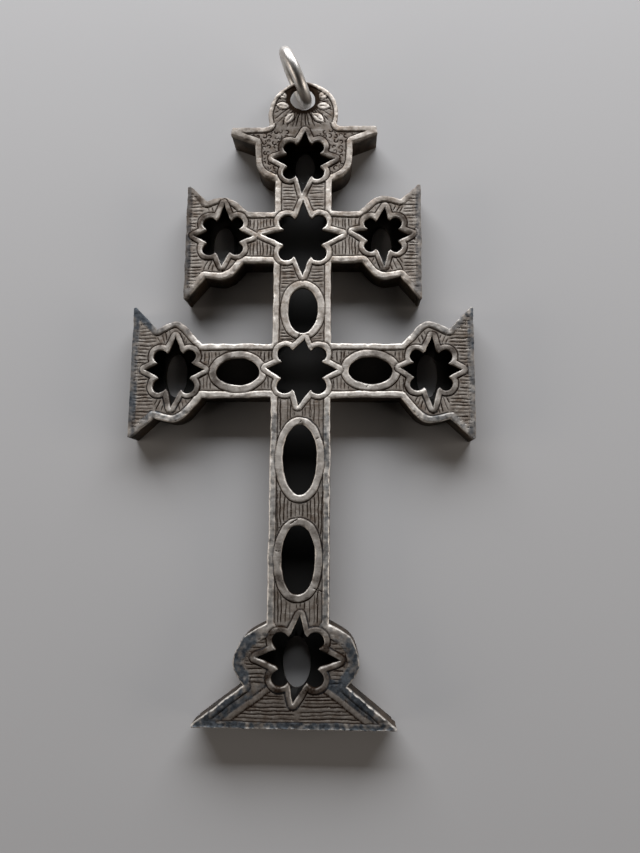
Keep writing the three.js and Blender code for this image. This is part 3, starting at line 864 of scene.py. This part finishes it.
# Painted shade in the plate's cut faces: they darken towards the underside, fully in the windows and the
# hole.
underside_shade = np.where(np.arange(len(border)) < counts[0], 0.6, 1.0)
write_share(front, "hollow", np.concatenate([hollow, underside_shade]))
print("dark", round(100 * (hollow > 0.5).mean()), "percent of the front's points")

# %% Bright edges
bright = np.clip((1.25 - edge / 0.19) * (0.95 + 1.2 * fine + 0.6 * wandering(plane_points, 0.25, 23)), 0, 1)
# Painted shade: towards the top, and on the darkened rims, the bright edges are held back.
bright *= (1 - 0.7 * smooth_step(y, 45, 72) * smooth_step(star_band, 0, 0.3)) * (1 - 0.8 * rim_shade)
# Rubbed raised work is a little bright, but not over the foot nor towards the top, where shade is painted.
bright = np.maximum(bright, 0.35 * (raised < -0.05) * (1 - foot_shade) * (1 - smooth_step(y, 45, 65)))
write_share(front, "edge", np.concatenate([bright, 0 * underside_shade]))
print("bright", round(100 * (bright > 0.5).mean()), "percent")

# %% [markdown]
# Blue-grey tarnish stays where fingers seldom rub: on the rims of the foot, of the stem below the lower bar
# and of the bars' ends. It comes in patches, from the same smooth noise as the dents.

# %% Tarnish
on_rim = 1 - smooth_step(raised, -0.15, 0.3)
on_rim *= (star_band > -0.02) & (oval_band > -0.02)
aside = np.abs(x)
foot = 1 - smooth_step(y, 10.5, 14.5)
low_ends = smooth_step(aside, 13, 17) * (1 - smooth_step(y, 46, 51)) * smooth_step(y, 30, 36)
low_ends = np.maximum(low_ends, smooth_step(aside, 20.5, 22.4) * (y < 60) * 0.9) * np.where(x > 0, 0.65, 1)
stem = smooth_step(y, 12, 14) * (1 - smooth_step(y, 40, 44)) * (aside < 5) * np.where(x > 0, 0.7, 0.5)
horns = smooth_step(aside, 15, 16.2) * (y > 50) * 0.35
where = np.clip(foot + low_ends + stem + horns + 0.12, 0, 1)
patches = 0.75 + 0.9 * wandering(plane_points, 3.4, 21) + 0.7 * wandering(plane_points, 0.6, 22)
beyond = smooth_step(beyond_ridge(x, y), 0.1, 0.9) * (y < 6.3) * (star_band > 0)
tarnish = where * (0.06 + 0.94 * np.maximum(on_rim, 0.75 * beyond)) * np.clip(patches, 0, 1)
tarnish = np.clip(tarnish * (1 - 0.85 * bright), 0, 1)
write_share(front, "tarnish", np.concatenate([tarnish, tarnish[:len(border)]]))
print("tarnished", round(100 * (tarnish > 0.3).mean()), "percent")

# %% Smooth where it is worn round


def only(piece):
    """Makes this the one selected object, and the active one."""
    bpy.ops.object.select_all(action="DESELECT")
    piece.select_set(True)
    bpy.context.view_layer.objects.active = piece


only(front)
bpy.ops.object.shade_smooth_by_angle(angle=math.radians(50))
print("smooth faces", sum(face.use_smooth for face in front.data.polygons))

# %% [markdown]
# ## Sheet pieces
# The walls, the cover and its small parts are cut from sheet, so they start as a flat outline: a circle
# whose corners are set on the outline, filled and extruded. Boolean cuts open it and a bevel takes off the
# sharp edges, as a file and long use do.

# %% Sheets and blocks


def sheet(name, loop, low, high):
    """A flat piece between two heights."""
    bpy.ops.object.select_all(action="DESELECT")
    bpy.ops.mesh.primitive_circle_add(vertices=len(loop), radius=MM, fill_type="NOTHING")
    piece = bpy.context.object
    piece.name = name
    rows = metres(np.column_stack([loop, np.full(len(loop), low)]))
    for vertex, place in zip(piece.data.vertices, rows):
        vertex.co = place
    bpy.ops.object.mode_set(mode="EDIT")
    bpy.ops.mesh.select_all(action="SELECT")
    bpy.ops.mesh.edge_face_add()
    bpy.ops.mesh.extrude_region_move(TRANSFORM_OT_translate={"value": (0, 0, (high - low) * MM)})
    bpy.ops.mesh.select_all(action="SELECT")
    bpy.ops.mesh.normals_make_consistent(inside=False)
    bpy.ops.object.mode_set(mode="OBJECT")
    return piece


def box(name, low, high):
    """A block between two corners."""
    (x0, y0, z0), (x1, y1, z1) = low, high
    return sheet(name, np.array([(x0, y0), (x1, y0), (x1, y1), (x0, y1)]), z0, z1)


# %% Cut, copy, ease and slice


def combine(piece, other, way):
    """Cuts, joins or intersects with another piece, which is used up."""
    only(piece)
    change = piece.modifiers.new("combine", "BOOLEAN")
    change.operation, change.object, change.solver = way, other, "MANIFOLD"
    bpy.ops.object.modifier_apply(modifier=change.name)
    bpy.data.objects.remove(other)
    return piece


def copied(piece, name):
    """The same piece again, with a mesh of its own."""
    twin = piece.copy()
    twin.data = piece.data.copy()
    twin.name = name
    bpy.context.collection.objects.link(twin)
    return twin


def eased(piece, width, segments=2):
    """Rounds the edges a little and shades them smooth."""
    only(piece)
    change = piece.modifiers.new("ease", "BEVEL")
    change.width, change.segments, change.limit_method = width * MM, segments, "ANGLE"
    change.angle_limit = math.radians(38)
    bpy.ops.object.modifier_apply(modifier=change.name)
    bpy.ops.object.shade_smooth_by_angle(angle=math.radians(35))
    return piece


def sliced(piece, gap, axes):
    """Cuts flat areas into smaller ones with parallel planes, so that they can be dented."""
    only(piece)
    bpy.ops.object.mode_set(mode="EDIT")
    for axis in axes:
        normal = [float(axis == k) for k in range(3)]
        low = min(corner[axis] for corner in piece.bound_box)
        high = max(corner[axis] for corner in piece.bound_box)
        for k in range(1, int((high - low) / (gap * MM))):
            bpy.ops.mesh.select_all(action="SELECT")
            place = [low + k * gap * MM if axis == n else 0.0 for n in range(3)]
            bpy.ops.mesh.bisect(plane_co=place, plane_no=normal)
    bpy.ops.object.mode_set(mode="OBJECT")
    return piece


# %% [markdown]
# ## The walls
# Twelve strips of sheet stand under the front's edge and meet at the horns. One tall band is cut into the
# twelve, with the same narrow solder seams as in the CAD model.

# %% Rods and blocks for the case
# The walls' top, a solder seam's width, the cover's thickness and the gap around it, and a distance that is
# well off the cross.
WALL_TOP, SEAM, COVER, COVER_GAP, FAR = 3.15, 0.05, 0.6, 0.15, 60.0
# The hinge's axis, the radii of its barrel, bore and pin, and its lengths.
HINGE_Y, HINGE_Z, BARREL, BORE, PIN = -0.1, 0.6, 0.55, 0.33, 0.25
KNUCKLE, GAP, PIN_LENGTH = 1.94, 0.06, 6.2
SHARP = cross_outline(False, worn=False)


def rod(name, radius, length, middle=0.0, sides=40):
    """A round rod on the hinge's axis."""
    bpy.ops.object.select_all(action="DESELECT")
    place = metres([(middle, HINGE_Y, HINGE_Z)])[0]
    bpy.ops.mesh.primitive_cylinder_add(vertices=sides, radius=radius * MM, depth=length * MM, location=place,
                                        rotation=(0, math.pi / 2, 0))
    bpy.ops.object.transform_apply(location=True, rotation=True, scale=True)
    bpy.context.object.name = name
    return bpy.context.object


def groove():
    """The room that the hinge needs in the wall and the cover."""
    return rod("groove", BARREL + SEAM, PIN_LENGTH + 2 * GAP)


def block_between(x0, y0, x1, y1, low=-1.0, high=WALL_TOP + 1):
    """A block that holds all of the case over a rectangle."""
    return box("part", (x0, y0, low), (x1, y1, high))


# %% Walls


def on_both_sides(name, *areas):
    """The areas of two mirrored walls, given for the right one."""
    regions[name + "_left"] = [(-x1, y0, -x0, y1) for x0, y0, x1, y1 in areas]
    regions[name + "_right"] = areas


band = sheet("band", along(cross_outline(False), 0.7), 0, WALL_TOP)
combine(band, sheet("room", along(moved_out(SHARP, -WALL), 0.7), -1, WALL_TOP + 1), "DIFFERENCE")
top_y, lower_x, upper_x = TOP_END - WALL, LOWER_END - WALL, UPPER_END - WALL
low_y, high_y = BETWEEN_BARS, BETWEEN_BARS + 0.1
regions = {"end_wall_top": [(-FAR, top_y, FAR, 90)]}
on_both_sides("end_wall_upper", (upper_x, high_y, FAR, top_y - SEAM))
on_both_sides("end_wall_lower", (lower_x, 0, FAR, low_y))
regions["end_wall_foot"] = [(-FAR, -1, FAR, WALL)]
on_both_sides("side_wall_top", (0, UPPER_Y, upper_x - SEAM, top_y - SEAM))
on_both_sides("side_wall_middle", (0, LOWER_Y, lower_x - SEAM, high_y), (0, low_y, upper_x - SEAM, UPPER_Y))
on_both_sides("side_wall_lower", (0, WALL + SEAM, lower_x - SEAM, LOWER_Y))
walls = {}
for name, areas in regions.items():
    area = block_between(*areas[0])
    for more in areas[1:]:
        combine(area, block_between(*more), "UNION")
    wall = combine(copied(band, name), area, "INTERSECT")
    if name == "end_wall_foot":
        combine(wall, block_between(-FAR, -1, FAR, 1, -1, COVER + SEAM), "DIFFERENCE")
        combine(wall, groove(), "DIFFERENCE")
    walls[name] = sliced(wall, 0.52, [2])
bpy.data.objects.remove(band)
print("walls", len(walls))

# %% [markdown]
# Hand-beaten sheet is never flat. A smooth field of small errors moves the walls' points inwards, by the
# same rule for all twelve, so that their seams stay closed.

# %% Uneven sheet


def beaten(piece, size, depth, seed):
    """Moves points against their normals by a smooth random amount of at most depth millimetres."""
    moves = []
    for vertex in piece.data.vertices:
        x, y, z = (c / MM / size for c in vertex.co)
        share = 0.5 + 0.5 * noise.noise((x + seed, y, z))
        moves.append(vertex.normal * share * depth * MM)
    for vertex, move in zip(piece.data.vertices, moves):
        vertex.co -= move
    return piece


def flat_places(piece):
    """A piece's points as seen from above, in millimetres from the foot."""
    flat = np.array([(vertex.co.x, vertex.co.y) for vertex in piece.data.vertices]) / MM
    return flat + [0, LOWER_Y]


for name, wall in walls.items():
    eased(wall, 0.05)
    inward = -signed_distance(flat_places(wall), SHARP, 3.0)
    # Painted shade: the walls' inner faces are dark, so the case looks deep.
    write_share(wall, "hollow", smooth_step(inward, 0.2, 0.5))
    beaten(wall, 2.4, 0.04, 3)
print("points in the walls", sum(len(wall.data.vertices) for wall in walls.values()))

# %% [markdown]
# ## Cover, hinge and catch
# The back is a flat cover with an opening behind the window of each end. It lies between the walls and turns
# on three knuckles under the foot. A springy tongue at the top holds it shut and four bearers carry it.

# %% Cover
foot_edge = (SHARP[:, 1] < 1e-6) & (np.roll(SHARP, 1, 0)[:, 1] < 1e-6)
cover_loop = moved_out(SHARP, np.where(foot_edge, 0, -(WALL + COVER_GAP)))
BACK_OVALS = [(0, 78.8, 1.5, 2.5), (-11.9, 66.4, 1.6, 3.2), (11.35, 66.2, 1.5, 3.2),
              (-18.2, 46.93, 1.55, 3.2), (17.75, 46.93, 1.5, 3.2), (-0.3, 7.6, 1.9, 3.4)]
cover = sheet("back_cover", along(cover_loop, 0.8), 0, COVER)
for oval in BACK_OVALS:
    combine(cover, sheet("hole", oval_loop(*oval, sides=64), -1, COVER + 1), "DIFFERENCE")
combine(cover, groove(), "DIFFERENCE")
sliced(cover, 1.5, [0, 1])
eased(cover, 0.06)
# Painted shade: dark inside, so the windows look deep; clean outside.
write_share(cover, "hollow", [smooth_step(vertex.co.z / MM, 0.3, 0.55) for vertex in cover.data.vertices])
print("openings in the cover", len(BACK_OVALS))

# %% Hinge


def knuckle(name, place):
    """A short tube with eased edges."""
    middle = place * (KNUCKLE + GAP)
    tube = combine(rod(name, BARREL, KNUCKLE, middle), rod("bore", BORE, 4, middle), "DIFFERENCE")
    return eased(tube, 0.05)


knuckles = {name: knuckle(name, place) for name, place in
            (("hinge_knuckle_left", -1), ("hinge_knuckle_cover", 0), ("hinge_knuckle_right", 1))}
cover_knuckle = knuckles.pop("hinge_knuckle_cover")
pin = eased(rod("hinge_pin", PIN, PIN_LENGTH, sides=32), 0.09, 3)
print("gap around the pin", round(BORE - PIN, 2), "mm")

# %% Catch and bearers
TONGUE_HALF, TONGUE_THICK, TONGUE_TOP = 1.6, 0.35, 2.7
TONGUE_FOOT_Y, TONGUE_FOOT, BEARER = 81.4, 0.25, 0.6
tongue_back, lowest = TOP_END - WALL - COVER_GAP, COVER + SEAM
tongue = box("catch_tongue", (-TONGUE_HALF, TONGUE_FOOT_Y, lowest),
             (TONGUE_HALF, tongue_back, lowest + TONGUE_FOOT))
combine(tongue, box("upright", (-TONGUE_HALF, tongue_back - TONGUE_THICK, lowest),
                    (TONGUE_HALF, tongue_back, TONGUE_TOP)), "UNION")
eased(tongue, 0.06, 3)
bearers = {}
for which, end, level in (("upper", UPPER_END, UPPER_Y), ("lower", LOWER_END, LOWER_Y)):
    for where, side in (("left", -1), ("right", 1)):
        name, outer = f"bearer_{which}_{where}", side * (end - WALL - SEAM)
        left, right = sorted((outer, outer - side * BEARER))
        bar = box(name, (left, level - 3, lowest), (right, level + 3, lowest + BEARER))
        bearers[name] = beaten(eased(sliced(bar, 0.5, [1]), 0.08, 3), 1.1, 0.03, 7)
print("bearers", len(bearers))

# %% [markdown]
# ## The ring
# The ring is thick wire bent round and butted. The wire is a little uneven, flattened where the pliers
# held it, and the joint still shows as a fine line.

# %% Ring
RING_RADIUS, WIRE_RADIUS, JOINT_ANGLE = 3.55, 0.845, 2.2
bpy.ops.object.select_all(action="DESELECT")
bpy.ops.mesh.primitive_torus_add(major_radius=RING_RADIUS * MM, minor_radius=WIRE_RADIUS * MM,
                                 major_segments=144, minor_segments=36)
ring = bpy.context.object
ring.name = "wire_ring"
for vertex in ring.data.vertices:
    x, y, z = vertex.co
    angle = math.atan2(y, x)
    core = Vector((math.cos(angle), math.sin(angle), 0)) * RING_RADIUS * MM
    share = 0.5 + 0.5 * noise.noise(vertex.co / (2.0 * MM)) + 0.18 * noise.noise(vertex.co / (0.5 * MM))
    seam = math.exp(-((angle - JOINT_ANGLE) / 0.022) ** 2)
    vertex.co = core + (vertex.co - core) * (1 - 0.045 * share - 0.1 * seam)
# It stands almost on edge in the lug and leans 25 degrees to the left.
ring.rotation_euler = (0, math.radians(90 - 6.5), math.radians(25))
ring.location = metres([(-1.3, 90.7, 4.45)])[0]
bpy.ops.object.transform_apply(location=True, rotation=True, scale=True)
bpy.ops.object.shade_smooth()
print("ring", round(2 * (RING_RADIUS + WIRE_RADIUS), 2), "mm across")

# %% [markdown]
# ## Silver, old and handled
# All of it is silver. Where hands and cloth reach, it is bright and scratched; in the cuts and beside the
# bands black sulphide stays, and between the two the metal has gone grey and brown. The same dark colour
# also paints shade inside the case, around the lug's hole and over the foot. One recipe makes all
# four kinds. It reads the shares that the pieces carry, and noise whose sizes are given in millimetres.

# %% Silver
NOISE, RANGE, MATH, MIX = "ShaderNodeTexNoise", "ShaderNodeMapRange", "ShaderNodeMath", "ShaderNodeMix"
TIMES_PLUS = {"operation": "MULTIPLY_ADD", "use_clamp": True}
COLOURS = {"data_type": "RGBA"}
# Sizes in millimetres. The grain of a casting is finer than this, but would not show in this view.
CLOUD, MOTTLE, GRAIN, SCRATCH = 3.5, 0.9, 0.3, 3.0


def silver(name, bright, grey, dark, roughness, dirt, scale, crust=1.0):
    """Worn silver. The scale makes its patterns larger; crust is how metallic the dark hollows still are."""
    material = bpy.data.materials.new(name)
    tree = empty_tree(material)
    place = add(tree, "ShaderNodeTexCoord", {}).outputs["Object"]
    hollow, worn, black = (add(tree, "ShaderNodeAttribute", {}, attribute_name=share).outputs["Fac"]
                           for share in ("hollow", "edge", "tarnish"))
    clouds, mottle, grains = (
        add(tree, NOISE, {"Vector": place, "Detail": 4, "Roughness": 0.62, "Scale": 1000 / (size * scale)})
        for size in (CLOUD, MOTTLE, GRAIN))
    cloudy, mottled, grainy, spotty = (
        add(tree, RANGE, {"Value": value, "From Min": low, "From Max": high})
        for value, low, high in ((clouds, 0.42, 0.62), (mottle, 0.35, 0.65),
                                 (grains, 0.3, 0.7), (mottle, 0.3, 0.7)))
    # Scratches are drawn out to 14 times their width, and coarser than real ones, which this view would lose.
    turned = add(tree, "ShaderNodeMapping", {"Vector": place, "Rotation": (0, 0, 0.6), "Scale": (1, 14, 1)})
    streaks = add(tree, NOISE, {"Vector": turned, "Scale": 1000 / (SCRATCH * scale), "Detail": 3})
    scratch = add(tree, RANGE, {"Value": streaks, "From Min": 0.60, "From Max": 0.70})
    # Bright where rubbed or scratched, otherwise patchy.
    specks = add(tree, MATH, {0: grainy, 1: 0.4, 2: -0.1}, **TIMES_PLUS)
    patchy = add(tree, MATH, {0: mottled, 1: 0.5, 2: specks}, **TIMES_PLUS)
    scratched = add(tree, MATH, {0: scratch, 1: 0.35, 2: patchy}, **TIMES_PLUS)
    wear = add(tree, MATH, {0: worn, 1: 0.9, 2: scratched}, **TIMES_PLUS)
    brown_share = add(tree, MATH, {0: cloudy, 1: 0.5, 2: 0.0}, **TIMES_PLUS)
    browned = add(tree, MIX, {0: brown_share, 6: linear(grey), 7: linear("#7b6148")}, **COLOURS).outputs[2]
    metal = add(tree, MIX, {0: wear, 6: browned, 7: linear(bright)}, **COLOURS).outputs[2]
    # Dark in the hollows, with a grainy border: patina in cuts and grooves, and painted shade where a piece's
    # hollow share carries it.
    loose = add(tree, MATH, {0: grainy, 1: 0.45, 2: dirt - 0.22}, **TIMES_PLUS)
    dirt_and_shade_here = add(tree, MATH, {0: hollow, 1: 1.2, 2: loose}, **TIMES_PLUS)
    soiled = add(tree, MIX, {0: dirt_and_shade_here, 6: metal, 7: linear(dark)}, **COLOURS).outputs[2]
    # Blue-grey tarnish in spots.
    gaps = add(tree, MATH, {0: spotty, 1: -0.3, 2: black}, **TIMES_PLUS)
    spots = add(tree, RANGE, {"Value": gaps, "From Max": 0.6})
    blue = add(tree, MIX, {0: patchy, 6: linear("#393d42"), 7: linear("#80868b")}, **COLOURS).outputs[2]
    colour = add(tree, MIX, {0: spots, 6: soiled, 7: blue}, **COLOURS).outputs[2]
    # Rubbed metal is smoother than dirt.
    dull = add(tree, MATH, {0: worn, 1: -0.5, 2: dirt_and_shade_here}, **TIMES_PLUS)
    matt = add(tree, RANGE, {"Value": dull, "To Min": roughness, "To Max": min(1.0, roughness + 0.3)})
    metallic = add(tree, RANGE, {"Value": hollow, "From Min": 0.3, "From Max": 0.9, "To Min": 1.0,
                                 "To Max": crust})
    rough_skin = add(tree, MATH, {0: scratch, 1: 0.25, 2: grains}, **TIMES_PLUS)
    bump = add(tree, "ShaderNodeBump", {"Height": rough_skin, "Strength": 0.3, "Distance": 0.00004})
    shader = add(tree, "ShaderNodeBsdfPrincipled", {"Base Color": colour, "Roughness": matt,
                                                    "Metallic": metallic, "Normal": bump})
    add(tree, "ShaderNodeOutputMaterial", {"Surface": shader})
    return material


# %% Four kinds of silver
SILVERS = {
    # Cast and worn by hand: a broad soft shine on the bands, brown-black in every cut, and nowhere a mirror.
    "cast_silver": silver("cast_silver_worn", "#ebe5dc", "#958a7e", "#3a2d23", 0.64, 0.0, 1),
    # Sheet that nobody rubs: dark with sulphide, so the walls recede and the front stands out; on the inner
    # faces its darkest colour is painted shade.
    "sheet_silver": silver("sheet_silver_tarnished_shaded_inside", "#5d5750", "#35302b", "#211f1c", 0.55, 0.08, 1, 0.2),
    # The cover lay against cloth: greyer and smoother outside; black inside as painted shade, so the windows
    # look deep.
    "cover_silver": silver("cover_silver_rubbed", "#a29d95", "#5d5852", "#211f1c", 0.5, 0.05, 2, 0.2),
    # Thick wire, polished by turning in the lug: long highlights along it, brighter than all else here.
    "wire_silver": silver("wire_silver_handled", "#dfdcd6", "#c9c5bf", "#3a342e", 0.42, 0.0, 1.5),
}
print("materials", len(SILVERS))

# %% [markdown]
# ## Into the frame
# A last look at each mesh: doubles merged, nothing loose, every face outwards. Then each piece takes its
# silver, rides on the body that it moves with, and stands for one piece of the CAD model.

# %% Last steps for a piece


def whole(piece):
    """Merges doubles, drops loose points and turns every face outwards; says what is still open."""
    shape = bmesh.new()
    shape.from_mesh(piece.data)
    bmesh.ops.remove_doubles(shape, verts=shape.verts, dist=1e-8)
    bmesh.ops.delete(shape, geom=[v for v in shape.verts if not v.link_faces], context="VERTS")
    bmesh.ops.recalc_face_normals(shape, faces=shape.faces)
    still_open = sum(not e.is_manifold for e in shape.edges)
    shape.to_mesh(piece.data)
    volume = round(shape.calc_volume() * 1e9, 2)
    print(piece.name, len(shape.faces), "faces, open edges", still_open, "volume", volume, "cubic mm")
    shape.free()


def finished(piece, body, node, slot):
    """Cleans the mesh, and says which silver it is, what it moves with and which CAD piece it stands for."""
    piece.name = node + "_silver"
    whole(piece)
    piece.data.materials.clear()
    piece.data.materials.append(SILVERS[slot])
    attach(piece, body)
    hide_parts(node)


# %% Give every piece its place
finished(front, "case", "front_grille", "cast_silver")
for name, piece in {**walls, **bearers, **knuckles}.items():
    finished(piece, "case", name, "sheet_silver")
finished(pin, "case", "hinge_pin", "wire_silver")
finished(cover, "cover", "back_cover", "cover_silver")
finished(tongue, "cover", "catch_tongue", "sheet_silver")
finished(cover_knuckle, "cover", "hinge_knuckle_cover", "sheet_silver")
finished(ring, "ring", "jump_ring", "wire_silver")
